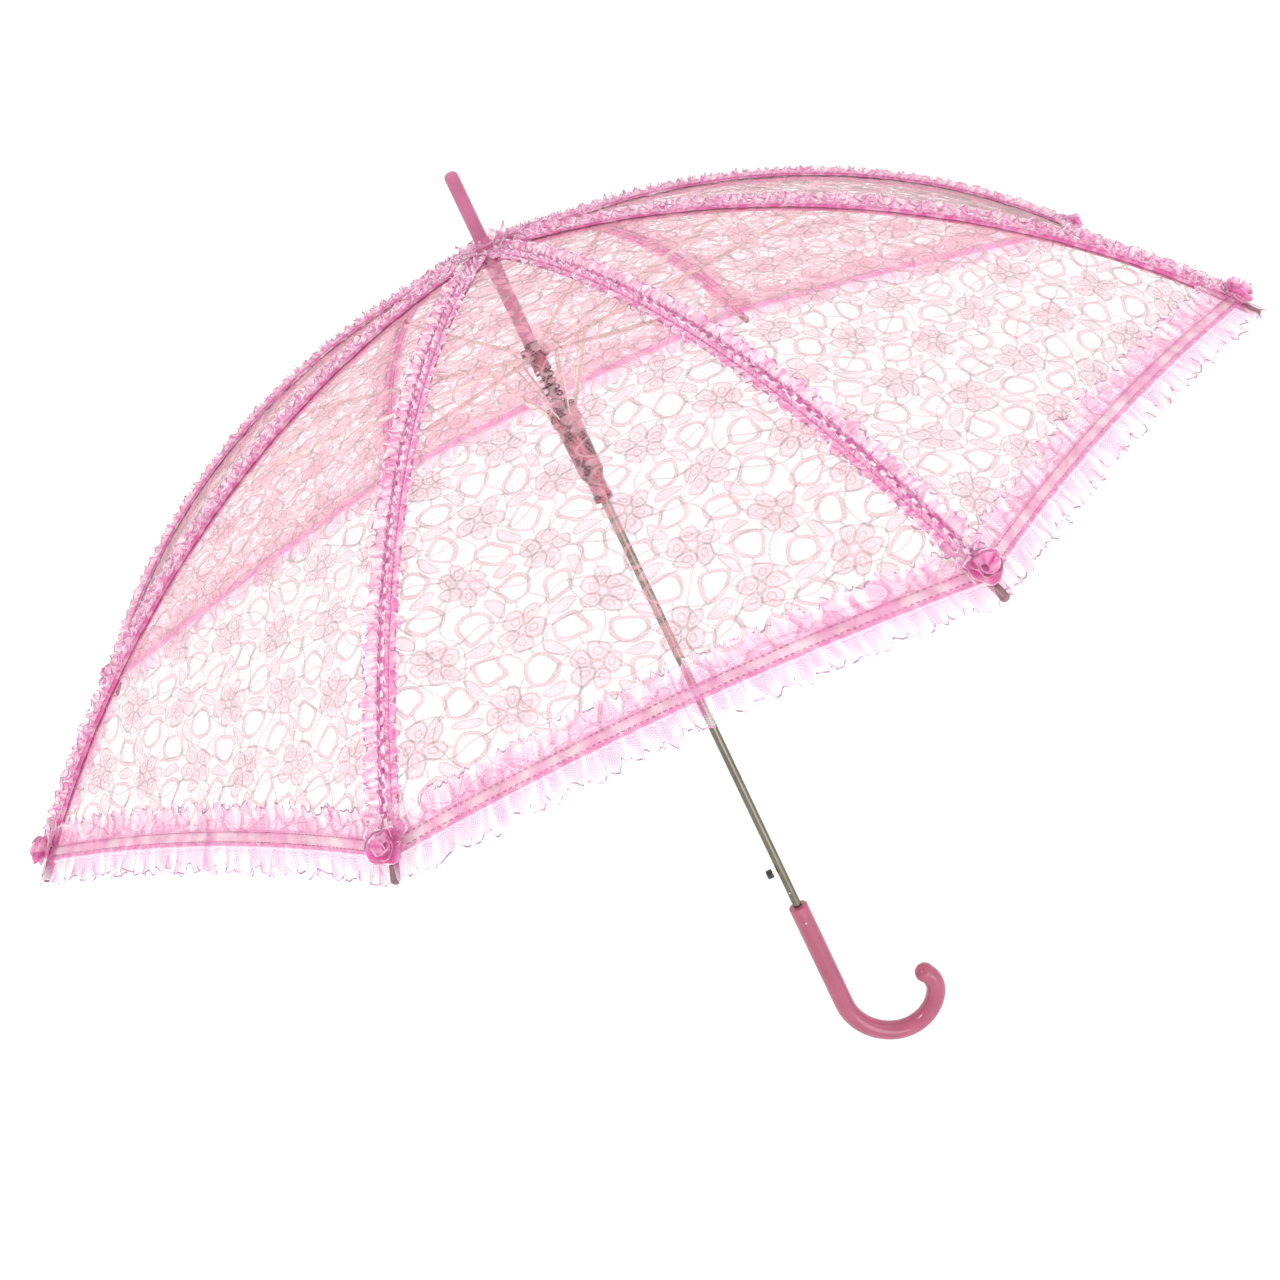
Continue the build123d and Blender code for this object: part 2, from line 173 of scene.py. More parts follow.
# --- meshes -------------------------------------------------------------------------------
class Sheets:
    """Collects points, faces, flat coordinates and material numbers for one mesh."""

    def __init__(self):
        self.points, self.faces, self.flat, self.material, self.count = [], [], [], [], 0

    def add(self, points, faces, flat, material=0):
        self.points.append(np.asarray(points, float).reshape(-1, 3))
        self.flat.append(np.asarray(flat, float).reshape(-1, 2))
        self.faces += (np.asarray(faces) + self.count).tolist()
        self.material += [material] * len(faces)
        self.count += len(self.points[-1])

    def grid(self, points, flat, material=0):
        """A grid of points, rows by columns, as quads."""
        rows, columns = points.shape[:2]
        self.add(points, grid_faces(rows, columns), flat, material)

    def piece(self, name, materials):
        """Makes the object."""
        mesh = bpy.data.meshes.new(name)
        mesh.from_pydata(np.concatenate(self.points).tolist(), [], self.faces)
        mesh.polygons.foreach_set("material_index", np.array(self.material, np.int32))
        mesh.polygons.foreach_set("use_smooth", np.full(len(self.faces), True))
        flat = np.concatenate(self.flat)
        corners = np.zeros(len(mesh.loops), np.int32)
        mesh.loops.foreach_get("vertex_index", corners)
        layer = mesh.uv_layers.new(name="flat")
        layer.data.foreach_set("uv", flat[corners].astype(np.float32).ravel())
        for material in materials:
            mesh.materials.append(material)
        mesh.validate()
        obj = bpy.data.objects.new(name, mesh)
        bpy.context.scene.collection.objects.link(obj)
        return obj


def grid_faces(rows, columns):
    index = np.arange(rows * columns).reshape(rows, columns)
    return np.stack([index[:-1, :-1], index[:-1, 1:], index[1:, 1:], index[1:, :-1]], -1).reshape(-1, 4)


# --- materials ----------------------------------------------------------------------------
def new_material(name):
    """A material with its node tree and its shader."""
    material = bpy.data.materials.new(name)
    material.use_nodes = True
    tree = material.node_tree
    shader = next(n for n in tree.nodes if n.type == "BSDF_PRINCIPLED")
    return material, tree, shader


def node(tree, kind, **values):
    """Makes a node; a value goes to the input or property of that name."""
    made = tree.nodes.new(kind)
    for key, value in values.items():
        label = key.replace("_", " ")
        if label in made.inputs:
            made.inputs[label].default_value = value
        else:
            setattr(made, key, value)
    return made


def noise(tree, coordinate, scale, detail=4.0, stretch=(1, 1, 1)):
    """Smooth noise on a coordinate, drawn out along an axis by a small stretch value."""
    source = node(tree, "ShaderNodeTexCoord")
    mapping = node(tree, "ShaderNodeMapping")
    mapping.inputs["Scale"].default_value = stretch
    texture = node(tree, "ShaderNodeTexNoise", Scale=scale, Detail=detail)
    tree.links.new(source.outputs[coordinate], mapping.inputs["Vector"])
    tree.links.new(mapping.outputs["Vector"], texture.inputs["Vector"])
    return texture.outputs["Fac"]


def ramp(tree, value, stops):
    """Colour ramp of a value; stops are pairs of place and colour."""
    made = node(tree, "ShaderNodeValToRGB")
    elements = made.color_ramp.elements
    while len(elements) < len(stops):
        elements.new(0.5)
    for element, (place, colour) in zip(elements, stops):
        element.position = place
        element.color = (*colour, 1.0)
    tree.links.new(value, made.inputs["Fac"])
    return made.outputs["Color"]


def remap(tree, value, low, high, low_to, high_to):
    """A value brought from one range to another, and kept inside it."""
    made = node(tree, "ShaderNodeMapRange", From_Min=low, From_Max=high, To_Min=low_to, To_Max=high_to)
    tree.links.new(value, made.inputs["Value"])
    return made.outputs["Result"]


def bump(tree, shader, height, strength, distance):
    """Gives a shader fine relief."""
    made = node(tree, "ShaderNodeBump", Strength=strength, Distance=distance)
    tree.links.new(height, made.inputs["Height"])
    tree.links.new(made.outputs["Normal"], shader.inputs["Normal"])


def shade(colour, amount):
    """A darker or lighter colour."""
    return tuple(min(1.0, c * amount) for c in colour)


def plastic(name, colour, rough=0.22, painted_reflection=None):
    """Moulded plastic: faint cloudiness, or dark streaks painted as reflections in its gloss; fine scuffs and
    a thin clear gloss.
    """
    material, tree, shader = new_material(name)
    # A streak colour, when given, is a painted reflection: dark bands standing for dark surroundings mirrored
    # in the gloss.
    if painted_reflection:
        cloudiness_and_reflection = noise(tree, "Object", 150, 2, (1, 1, 0.5))
        stops = [(0.46, painted_reflection), (0.52, shade(colour, 0.7)), (0.58, colour)]
    else:
        cloudiness_and_reflection = noise(tree, "Object", 45)
        stops = [(0.3, shade(colour, 0.86)), (0.7, shade(colour, 1.1))]
    tree.links.new(ramp(tree, cloudiness_and_reflection, stops), shader.inputs["Base Color"])
    scuff = noise(tree, "Object", 900, 6, (1, 1, 0.15))
    tree.links.new(remap(tree, scuff, 0.3, 0.75, rough * 0.75, rough * 1.6), shader.inputs["Roughness"])
    bump(tree, shader, scuff, 0.12, 0.0002)
    shader.inputs["Coat Weight"].default_value = 0.35
    shader.inputs["Coat Roughness"].default_value = 0.12
    return material


def metal(name, colour, rough=0.3, grain=(1, 1, 0.04)):
    """Drawn or plated steel, with a fine grain along its length and dull patches."""
    material, tree, shader = new_material(name)
    lines = noise(tree, "Object", 1400, 3, grain)
    colour_noise = noise(tree, "Object", 60)
    tree.links.new(ramp(tree, colour_noise, [(0.3, shade(colour, 0.82)), (0.7, shade(colour, 1.08))]),
                   shader.inputs["Base Color"])
    tree.links.new(remap(tree, lines, 0.3, 0.7, rough * 0.7, rough * 1.5), shader.inputs["Roughness"])
    bump(tree, shader, lines, 0.1, 0.0001)
    shader.inputs["Metallic"].default_value = 1.0
    return material


def cloth(name, stops, alpha, cell, stretch=(1, 1, 1), fade=0.0):
    """Thin net cloth in flat millimetres: its colour varies in patches, and where drawn out along gathers it
    paints the highlight and shade of the folds; light passes between its threads. The alphas are those of the
    threads and of the gaps; fade pales it towards its outer edge."""
    material, tree, shader = new_material(name)
    # This noise, drawn out along the gathers by the stretch, paints highlights and shade on the folds.
    colour_noise = noise(tree, "UV", 0.09, stretch=stretch)
    source = node(tree, "ShaderNodeTexCoord")
    if fade:
        place = node(tree, "ShaderNodeSeparateXYZ")
        tree.links.new(source.outputs["UV"], place.inputs["Vector"])
        edge = remap(tree, place.outputs["Y"], 0, HEM_FRILL_WIDTH / MM, -fade, fade)
        both = node(tree, "ShaderNodeMath", operation="ADD")
        tree.links.new(colour_noise, both.inputs[0])
        tree.links.new(edge, both.inputs[1])
        colour_noise = both.outputs["Value"]
    tree.links.new(ramp(tree, colour_noise, stops), shader.inputs["Base Color"])
    net = node(tree, "ShaderNodeTexVoronoi", Scale=1 / cell, Randomness=0.25, feature="DISTANCE_TO_EDGE")
    tree.links.new(source.outputs["UV"], net.inputs["Vector"])
    thread = net.outputs["Distance"]
    tree.links.new(remap(tree, thread, 0.06, 0.26, *alpha), shader.inputs["Alpha"])
    bump(tree, shader, thread, 0.3, 0.0003)
    shader.inputs["Roughness"].default_value = 0.75
    shader.inputs["Sheen Weight"].default_value = 0.12
    return material


THREAD, PALE_THREAD = (0.92, 0.36, 0.48), (0.97, 0.60, 0.68)
HOT_PINK, LIGHT_PINK = (0.78, 0.17, 0.45), (0.85, 0.35, 0.60)
PALE_PINK, WHITE_PINK = (0.88, 0.55, 0.70), (0.94, 0.85, 0.90)
STITCH_PINK = (0.36, 0.04, 0.18)
CORD_GREY, CORD_PINK = (0.43, 0.35, 0.36), (0.82, 0.42, 0.51)
PICOT_GREY = (0.36, 0.22, 0.29)
FOLD_SHADING = (1.3, 0.45, 1)        # colour drawn out across a strip, as its gathers are: painted highlight and shade of the folds
FINE_FOLD_SHADING = (2.2, 1.0, 1)
SOFT_FOLD_SHADING = (0.8, 0.6, 1)

NET = cloth("net_ground", [(0.35, THREAD), (0.65, PALE_THREAD)], (0.25, 0.06), 2.4)
PETAL = cloth("lace_petal", [(0.35, THREAD), (0.65, PALE_THREAD)], (0.46, 0.26), 1.1)
CORD = cloth("lace_cord", [(0.46, CORD_GREY), (0.66, CORD_PINK)], (0.48, 0.31), 0.6)
TAPE = cloth("seam_tape", [(0.42, HOT_PINK), (0.54, LIGHT_PINK), (0.64, PALE_PINK)], (0.97, 0.86), 0.9,
             FINE_FOLD_SHADING)
BAND = cloth("hem_band", [(0.36, LIGHT_PINK), (0.50, PALE_PINK), (0.66, WHITE_PINK)], (0.62, 0.42), 0.9,
             SOFT_FOLD_SHADING)
# The hem band's inner face is a deeper pink copy of the band: painted light shining through the cloth.
BACKLIT_INNER_BAND = cloth("hem_inside_backlit", [(0.36, HOT_PINK), (0.60, LIGHT_PINK)], (0.80, 0.58), 0.9, SOFT_FOLD_SHADING)
# On tapes, bands and frills the white pink streaks are painted highlights on the folds, the hot pink ones
# painted shade and overlap.
FRILL = cloth("rib_frill", [(0.38, HOT_PINK), (0.45, LIGHT_PINK), (0.52, PALE_PINK), (0.60, WHITE_PINK)],
              (0.72, 0.42), 1.3, FINE_FOLD_SHADING)
HEM_FRILL = cloth("hem_frill", [(0.36, HOT_PINK), (0.45, LIGHT_PINK), (0.54, PALE_PINK), (0.64, WHITE_PINK)],
                  (0.60, 0.28), 1.3, FOLD_SHADING, 0.12)
PICOT = cloth("frill_edge", [(0.44, WHITE_PINK), (0.52, LIGHT_PINK), (0.56, PICOT_GREY)], (1.0, 0.85), 2.2,
              FINE_FOLD_SHADING)
FINISHES = {
    "rib_steel": plastic("rib_paint", (0.78, 0.30, 0.48), 0.4),
    "rib_tip": plastic("tip_plastic", (0.22, 0.10, 0.12), 0.3),
    "stretcher_steel": metal("stretcher_metal", (0.80, 0.68, 0.63), 0.35),
    "shaft_metal": metal("shaft_chrome", (0.18, 0.17, 0.13), 0.2),
    "handle_plastic": plastic("handle_rose", (0.38, 0.075, 0.145), 0.13),
    "small_steel": metal("wire_metal", (0.5, 0.48, 0.46), 0.3),
    "pink_plastic": plastic("ferrule_rose", (0.50, 0.13, 0.26), 0.14),
    # The runner's dark streaks are a painted reflection of dark surroundings in its gloss.
    "runner_plastic": plastic("runner_rose", (0.34, 0.06, 0.10), 0.2, (0.05, 0.006, 0.010)),
    "catch_metal": metal("catch_nickel", (0.80, 0.76, 0.62), 0.2),
    "button_plastic": plastic("button_black", (0.012, 0.012, 0.012), 0.45),
    "spring_steel": metal("spring_metal", (0.06, 0.02, 0.02), 0.3),
}
STITCH = cloth("stitches", [(0.35, STITCH_PINK), (0.65, HOT_PINK)], (1.0, 0.9), 0.5)
PIPING = cloth("piping", [(0.35, PALE_PINK), (0.65, WHITE_PINK)], (1.0, 0.9), 0.5)


# --- lace motifs, drawn flat --------------------------------------------------------------
FLOWER_PITCH = 46.0           # all of this section is in flat millimetres
FLOWER_ROW = 40.0
PETAL_CENTRE = 8.6
PETAL_LONG, PETAL_WIDE = 5.7, 4.5
EYE_R = 2.6
CELL_R = 7.4
CELL_RIM = 1.5
SPOKE = 5.0                   # length of the bars from a cell to its neighbours
LEAF_LONG, LEAF_WIDE = 7.5, 3.2
CORD_WIDTH, FINE_CORD = 1.35, 1.0
CORD_HEIGHT = 0.4
CORD_STEP = 2.5               # between the points of a wavy cord
UP_SWING, ACROSS_SWING = 5.0, 3.5
OVER_EDGE = 20                # how far the wavy cords are drawn past the gore, before it is cut out


def warp(points):
    """Bends the drawing a little, so that no two motifs are alike."""
    x, y = points[..., 0], points[..., 1]
    dx = 2.4 * np.sin(0.083 * y + 1.3 * np.sin(0.031 * x)) + 0.9 * np.sin(0.31 * y + 0.17 * x)
    dy = 2.4 * np.sin(0.077 * x + 1.1 * np.sin(0.037 * y)) + 0.9 * np.sin(0.29 * x - 0.19 * y)
    return np.stack([x + dx, y + dy], -1)


def oval(centre, long, wide, heading, steps=18, notch=0.0, square=0.0):
    """Closed outline of a petal, leaf or cell, with its far end notched or its sides squared."""
    t = np.linspace(0, 2 * pi, steps, endpoint=False)
    size = 1 - notch * np.exp(-(np.minimum(t, 2 * pi - t) / 0.4)**2) + square * np.cos(4 * t)
    x, y = long * size * np.cos(t), wide * size * np.sin(t)
    c, s = cos(heading), sin(heading)
    return np.stack([centre[0] + c * x - s * y, centre[1] + s * x + c * y], -1)


def leaf(centre, heading, steps=14):
    """Closed outline of a leaf with pointed ends."""
    t = np.linspace(0, 2 * pi, steps, endpoint=False)
    x, y = LEAF_LONG * np.cos(t), LEAF_WIDE * np.sin(t) * np.abs(np.sin(t))**0.4
    c, s = cos(heading), sin(heading)
    return np.stack([centre[0] + c * x - s * y, centre[1] + s * x + c * y], -1)


def draw_flower(drawn, centre, petals, heading):
    """Petals round an eye, each with a small inner loop."""
    for k in range(petals):
        a = heading + 2 * pi * k / petals
        middle = (centre[0] + PETAL_CENTRE * cos(a), centre[1] + PETAL_CENTRE * sin(a))
        wide = PETAL_WIDE * (6 / petals)**0.5
        outline = oval(middle, PETAL_LONG, wide, a, notch=0.16)
        drawn.append(("fill", outline, 0))
        drawn.append(("loop", outline, CORD_WIDTH))
        inner = (middle[0] - 1.2 * cos(a), middle[1] - 1.2 * sin(a))
        drawn.append(("loop", oval(inner, PETAL_LONG * 0.4, wide * 0.38, a, 9), FINE_CORD))
    eye = oval(centre, EYE_R, EYE_R, 0, 10)
    drawn.append(("fill", eye, 0))
    drawn.append(("loop", eye, CORD_WIDTH))


def draw_cell(drawn, centre, turn, up):
    """Round opening with squared sides, a netted rim and three bars to its neighbours."""
    middle = oval(centre, CELL_R + CELL_RIM / 2, CELL_R + CELL_RIM / 2, turn, 22, square=0.06)
    drawn.append(("band", middle, CELL_RIM))
    for radius, width in ((CELL_R, CORD_WIDTH), (CELL_R + CELL_RIM, FINE_CORD)):
        drawn.append(("loop", oval(centre, radius, radius, turn, 22, square=0.06), width))
    for spoke in range(3):
        a = spoke * 2 * pi / 3 + (pi / 2 if up else -pi / 2)
        ray = np.linspace(CELL_R + CELL_RIM, CELL_R + CELL_RIM + SPOKE, 4)
        bar = np.stack([centre[0] + ray * cos(a), centre[1] + ray * sin(a)], -1)
        drawn.append(("line", bar, CORD_WIDTH))


def draw_lace(shift):
    """Everything drawn on one gore: kind, points and width of each cord, rim or filled shape."""
    drawn = []
    width, length = half_width(RIB_LENGTH) / MM, RIB_LENGTH / MM
    columns, rows = int(width / FLOWER_PITCH) + 2, int(length / FLOWER_ROW) + 2
    for row in range(-1, rows):
        for column in range(-columns, columns + 1):
            x = (column + 0.5 * (row % 2)) * FLOWER_PITCH + shift[0]
            y = row * FLOWER_ROW + shift[1]
            lowest = np.clip(y + FLOWER_PITCH, 0, length) * MM
            if abs(x) > half_width(lowest) / MM + FLOWER_PITCH:
                continue
            draw_flower(drawn, (x, y), 6 - (row + column) % 2, 0.7 * row + 0.4 * column)
            for heading in (0.0, atan2(FLOWER_ROW, FLOWER_PITCH / 2)):
                reach = FLOWER_PITCH / 2
                blade = leaf((x + reach * cos(heading), y + reach * sin(heading)), heading)
                drawn.append(("fill", blade, 0))
                drawn.append(("loop", blade, FINE_CORD))
            for side, rise in ((0.5, 1 / 3), (0.0, 2 / 3)):
                centre = (x + side * FLOWER_PITCH, y + rise * FLOWER_ROW)
                draw_cell(drawn, centre, 0.3 * row + 0.2 * column, side > 0)
    y = np.arange(0, length + OVER_EDGE, CORD_STEP)
    for column in range(-2 * columns, 2 * columns + 1):
        swing = UP_SWING * np.sin(2 * pi * (y - shift[1]) / FLOWER_ROW + pi * (column % 2) + 0.3 * column)
        x = (column + 0.5) * FLOWER_PITCH / 2 + shift[0] + swing
        drawn.append(("line", np.stack([x, y], -1), FINE_CORD))
    x = np.arange(-width - OVER_EDGE, width + OVER_EDGE, CORD_STEP)
    for row in range(2 * rows):
        swing = ACROSS_SWING * np.sin(2 * pi * (x - shift[0]) / FLOWER_PITCH + 0.6 * row)
        level = (row + 0.5) * FLOWER_ROW / 2 + shift[1] + swing
        drawn.append(("line", np.stack([x, level], -1), FINE_CORD))
    return drawn


def ribbon(line, closed, width):
    """Three rows of points along a flat line, with the middle row as a ridge, and its faces."""
    ahead = np.roll(line, -1, 0) - np.roll(line, 1, 0)
    if not closed:
        ahead[0], ahead[-1] = line[1] - line[0], line[-1] - line[-2]
    side = np.stack([-ahead[:, 1], ahead[:, 0]], -1)
    side /= np.maximum(np.linalg.norm(side, axis=1, keepdims=True), 1e-9)
    rows = np.stack([line - side * width / 2, line, line + side * width / 2])
    count = len(line)
    place = np.arange(count if closed else count - 1)
    after = (place + 1) % count
    quads = [np.stack([place + r * count, after + r * count, after + (r + 1) * count,
                       place + (r + 1) * count], -1) for r in range(2)]
    height = np.repeat([0.0, CORD_HEIGHT, 0.0], count)
    return rows.reshape(-1, 2), np.concatenate(quads), height


def fan(outline):
    """A filled outline, slightly domed towards its middle."""
    centre = outline.mean(0)
    points = np.concatenate([outline, (outline + centre) / 2, centre[None]])
    n = len(outline)
    place = np.arange(n)
    after = (place + 1) % n
    quads = np.stack([place, after, after + n, place + n], -1)
    middle = np.stack([place + n, after + n, np.full(n, 2 * n), np.full(n, 2 * n)], -1)
    return points, quads, middle[:, :3], np.repeat([0.0, 0.12, 0.18], [n, n, 1])


def place_flat(points, height):
    """Puts flat points of a gore, x from its middle and y from the crown, on the cover beside its first rib.
    Also gives their places across the gore, and whether they lie inside it."""
    bent = warp(points)
    along = np.clip(bent[:, 1] * MM, COVER_START, RIB_LENGTH)
    across = bent[:, 0] * MM / half_width(along)
    placed = cover(across + 1, along, MOTIF_LIFT + height * MM)
    inside = (np.abs(across) < 1.0) & (bent[:, 1] * MM > COVER_START) & (bent[:, 1] * MM < hem_at(across + 1))
    return placed, across, inside


def lace_of_gore(number):
    """Motif points and faces of one gore, each with the side of the gore that it lies on."""
    r = np.random.RandomState(40 + number)
    made = []
    for kind, line, width in draw_lace((r.uniform(-23, 23), r.uniform(-20, 20))):
        if kind == "fill":
            points, quads, middle, height = fan(line)
            groups = [quads, middle]
        else:
            points, quads, height = ribbon(line, kind != "line", width)
            groups = [quads]
        if kind == "band":
            height = height * 0.3
        placed, across, inside = place_flat(points, height)
        for faces in groups:
            kept = faces[inside[faces].all(1)]
            for side in (-1, 1):
                chosen = kept[(np.sign(across[kept].mean(1)) * side) > 0]
                if len(chosen):
                    used, again = np.unique(chosen, return_inverse=True)
                    made.append((side, turned(placed[used], azimuth_of(number)), again.reshape(chosen.shape),
                                 points[used], 1 if kind in ("fill", "band") else 0))
    return made


# --- frills -------------------------------------------------------------------------------
def unit(vectors):
    """Vectors brought to a length of one."""
    return vectors / np.maximum(np.linalg.norm(vectors, axis=-1, keepdims=True), 1e-12)


def frill(sheets, line, outward, up, width, pitch, swing, seed, rows=6, lean=0.25):
    """A gathered strip sewn along a line. It leaves the line outwards, waves up and down by its swing, more
    towards its edge, and rises by its lean. Its ragged edge has a fine cord of the second material."""
    step = np.linalg.norm(np.diff(line, axis=0), axis=1)
    s = np.concatenate([[0], np.cumsum(step)])
    at = np.linspace(0, s[-1], int(s[-1] / pitch * POINTS_PER_FOLD) + 2)
    base, out, lift = (np.stack([np.interp(at, s, v[:, k]) for k in range(3)], -1)
                       for v in (line, outward, up))
    out, lift = unit(out), unit(lift)
    ahead = unit(np.gradient(base, axis=0))
    phase = 2 * pi * at / pitch + 1.3 * wave(at, seed, 5 * pitch)
    strength = swing * (0.75 + 0.45 * wave(at, seed + 1, 4 * pitch))
    ragged = 0.22 * wave(at, seed + 2, 3 * pitch) + 0.14 * wave(at, seed + 3, 0.6 * pitch)
    reach = width * (1 + ragged + 0.10 * np.sin(2.3 * phase))
    share = np.linspace(0, 1, rows)[:, None]
    height = strength * share**0.8 * np.sin(phase + 0.5 * share) + lean * width * share**1.5
    slide = 0.55 * strength * share * np.cos(phase + 0.9) + 0.2 * strength * share * np.sin(2 * phase)
    points = (base[None] + (reach * np.sqrt(share * (0.55 + 0.45 * share)))[..., None] * out[None]
              + height[..., None] * lift[None] + slide[..., None] * ahead[None])
    flat = np.stack(np.broadcast_arrays(at[None] / MM * GATHER, share * width / MM), -1)
    sheets.grid(points, flat + [seed * 7.0, 0], 0)
    edge_out = unit(points[-1] - points[-2])
    edge = np.stack([points[-1] - 0.3 * MM * edge_out, points[-1] + 0.3 * MM * lift,
                     points[-1] + 0.6 * MM * edge_out])
    edge_flat = np.stack(np.broadcast_arrays(at[None] / MM * GATHER, np.arange(3.0)[:, None]), -1)
    sheets.grid(edge, edge_flat + seed * 3.0, 1)


# --- the pieces of one sector ------------------------------------------------------------
def make_net(number):
    """Ground net of one sector, from mid-gore to mid-gore, as one creased sheet."""
    across = np.linspace(-1, 1, 33)
    share = np.linspace(0, 1, 61)
    ends = hem_at(across)
    along = COVER_START + share[:, None] * (ends[None] - COVER_START)
    grid_across = np.broadcast_to(across, along.shape)
    points = turned(cover(grid_across, along, NET_LIFT), azimuth_of(number))
    flat = np.stack([grid_across * half_width(along) / MM, along / MM], -1)
    sheets = Sheets()
    sheets.grid(points, flat)
    return sheets.piece(f"lace_net_{number}", [NET])


def make_motifs(number, gores):
    """The motifs of one sector: half of the gore before its rib, and half of the gore after it."""
    sheets = Sheets()
    before = (number - 2) % RIB_COUNT + 1
    for side, points, faces, flat, material in gores[number]:
        if side < 0:
            sheets.add(points, faces, flat, material)
    for side, points, faces, flat, material in gores[before]:
        if side > 0:
            sheets.add(points, faces, flat, material)
    return sheets.piece(f"lace_motifs_{number}", [CORD, PETAL])


def rib_frame(number, along, lift):
    """Points over a rib with their sideways and upward directions."""
    rho, z = rib_point(along, lift)
    angle = ARC_START - along / ARC_RADIUS
    points = np.stack([rho, np.zeros_like(rho), z], -1)
    up = np.stack([np.cos(angle), np.zeros_like(rho), np.sin(angle)], -1)
    side = np.broadcast_to([0.0, 1.0, 0.0], points.shape)
    azimuth = azimuth_of(number)
    return turned(points, azimuth), turned(side, azimuth), turned(up, azimuth)


def make_tape(number):
    """Folded tape over the seam along a rib, and its flat underside, with stitches and piping."""
    along = np.linspace(COVER_START + 2 * MM, RIB_LENGTH - 1 * MM, 110)
    share = np.linspace(-1, 1, 7)
    wide = np.minimum(TAPE_HALF_WIDTH, 0.75 * half_width(along)) * (1 + 0.05 * wave(along, number, 0.05))
    across = share[None] * (wide / half_width(along))[:, None]
    crown = (1 - share**2)[None] * TAPE_CROWN
    lift = TAPE_LIFT + crown + 0.25 * MM * wave(along, number + 9, 0.02)[:, None] * share[None]
    grid_along = np.broadcast_to(along[:, None], across.shape)
    points = turned(cover(across, grid_along, lift), azimuth_of(number))
    flat = np.stack([grid_along / MM + 40 * number, across * half_width(grid_along) / MM], -1)
    inside = turned(cover(across, grid_along, INNER_LIFT + 0 * lift), azimuth_of(number))
    sheets = Sheets()
    sheets.grid(points, flat)
    sheets.grid(inside, flat)
    for edge in (-TAPE_STITCH_PLACE, TAPE_STITCH_PLACE):
        line_across = edge * wide / half_width(along)
        add_stitches(sheets, lambda t: cover(np.interp(t, along, line_across), t, TAPE_LIFT + 1.15 * MM),
                     along[0], along[-1], azimuth_of(number), 1)
    for material, span in ((2, (0.05, 0.55)), (1, (0.62, 0.95))):
        add_stitches(sheets, lambda t: cover(0 * t, t, TAPE_LIFT + 1.5 * MM), along[0], along[-1],
                     azimuth_of(number), material, PIPING_PITCH, span, PIPING_HALF_WIDTH)
    return sheets.piece(f"seam_tape_{number}", [TAPE, STITCH, PIPING])


def add_stitches(sheets, line, start, end, azimuth, material, pitch=STITCH_PITCH, span=(0.1, 0.7),
                 half_wide=STITCH_HALF_WIDTH):
    """Short raised dashes along a line given by a function of arc length; each fills a span of its pitch."""
    for k in range(int((end - start) / pitch)):
        t = start + (k + np.linspace(*span, 3)) * pitch
        spine = line(t)
        ahead = unit(spine[-1] - spine[0])
        side = unit(np.cross(ahead, [0.0, 0.0, 1.0])) * half_wide
        rows = np.stack([spine - side, spine + [0, 0, 0.25 * MM], spine + side])
        flat = np.stack(np.broadcast_arrays(t[None] / MM, np.arange(3.0)[:, None] + k), -1)
        sheets.grid(turned(rows, azimuth), flat, material)


RIB_FRILL_TIERS = ((3.6, 1.0, 2.8, 10.0), (3.2, 0.42, -0.5, 8.0))     # inset, width, slope and pitch


def make_rib_frill(number):
    """Gathered frills along the seam: one lies out on each side and a shorter one folds in over the tape."""
    along = np.linspace(COVER_START + 3 * MM, RIB_LENGTH - 2 * MM, 200)
    points, side, up = rib_frame(number, along, FRILL_LIFT)
    sheets = Sheets()
    for direction in (1, -1):
        out = direction * side
        for tier, (inset, width, spread, pitch) in enumerate(RIB_FRILL_TIERS):
            line = points + out * np.minimum(inset * MM, 0.3 * half_width(along))[:, None]
            seed = 4 * number + direction + 2 * tier
            frill(sheets, line, spread * out + up, up - 0.5 * spread * out,
                  RIB_FRILL_WIDTH * width, pitch * MM, 2.4 * MM, seed, 5, 0.15)
    return sheets.piece(f"rib_frill_{number}", [FRILL, PICOT])


def hem_line(number, inset, lift):
    """Points along a sector's hem, with the outward and upward directions of the cloth there."""
    across = np.linspace(-1, 1, 121)
    along = hem_at(across) - inset
    points = cover(across, along, lift)
    further = cover(across, along + 1 * MM, lift)
    out = unit(further - points)
    up = unit(np.cross(out, np.gradient(points, axis=0)))
    up *= np.sign(up[:, 2:])
    azimuth = azimuth_of(number)
    return turned(points, azimuth), turned(out, azimuth), turned(up, azimuth)


def make_hem(number):
    """Pink band folded round the hem, an outer and an inner face, with two rows of stitches."""
    across = np.linspace(-1, 1, 97)
    share = np.linspace(0, 1, 6)
    along = hem_at(across)[None] - HEM_BAND * share[:, None]
    lift = TAPE_LIFT - 0.4 * MM + 0.6 * MM * np.sin(pi * share)[:, None] + 0 * along
    lift = lift + 0.3 * MM * wave(across[None] * 0.16, number + 30, 0.02)
    grid_across = np.broadcast_to(across, along.shape)
    points = turned(cover(grid_across, along, lift), azimuth_of(number))
    sewn = share[:, None] * HEM_BAND / MM + 0 * along
    flat = np.stack([grid_across * half_width(along) / MM + 50 * number, sewn], -1)
    inside = turned(cover(grid_across, along, INNER_LIFT + 0 * lift), azimuth_of(number))
    sheets = Sheets()
    sheets.grid(points, flat)
    # The inner face takes the deeper pink copy: painted light shining through the band.
    sheets.grid(inside, flat, 2)
    for inset in HEM_STITCH_INSETS:
        def line(t, inset=inset):
            a = t / half_width(RIB_LENGTH)
            return cover(a, hem_at(a) - inset, TAPE_LIFT + 0.45 * MM)
        add_stitches(sheets, line, -half_width(RIB_LENGTH), half_width(RIB_LENGTH), azimuth_of(number), 1)
    return sheets.piece(f"hem_band_{number}", [BAND, STITCH, BACKLIT_INNER_BAND])


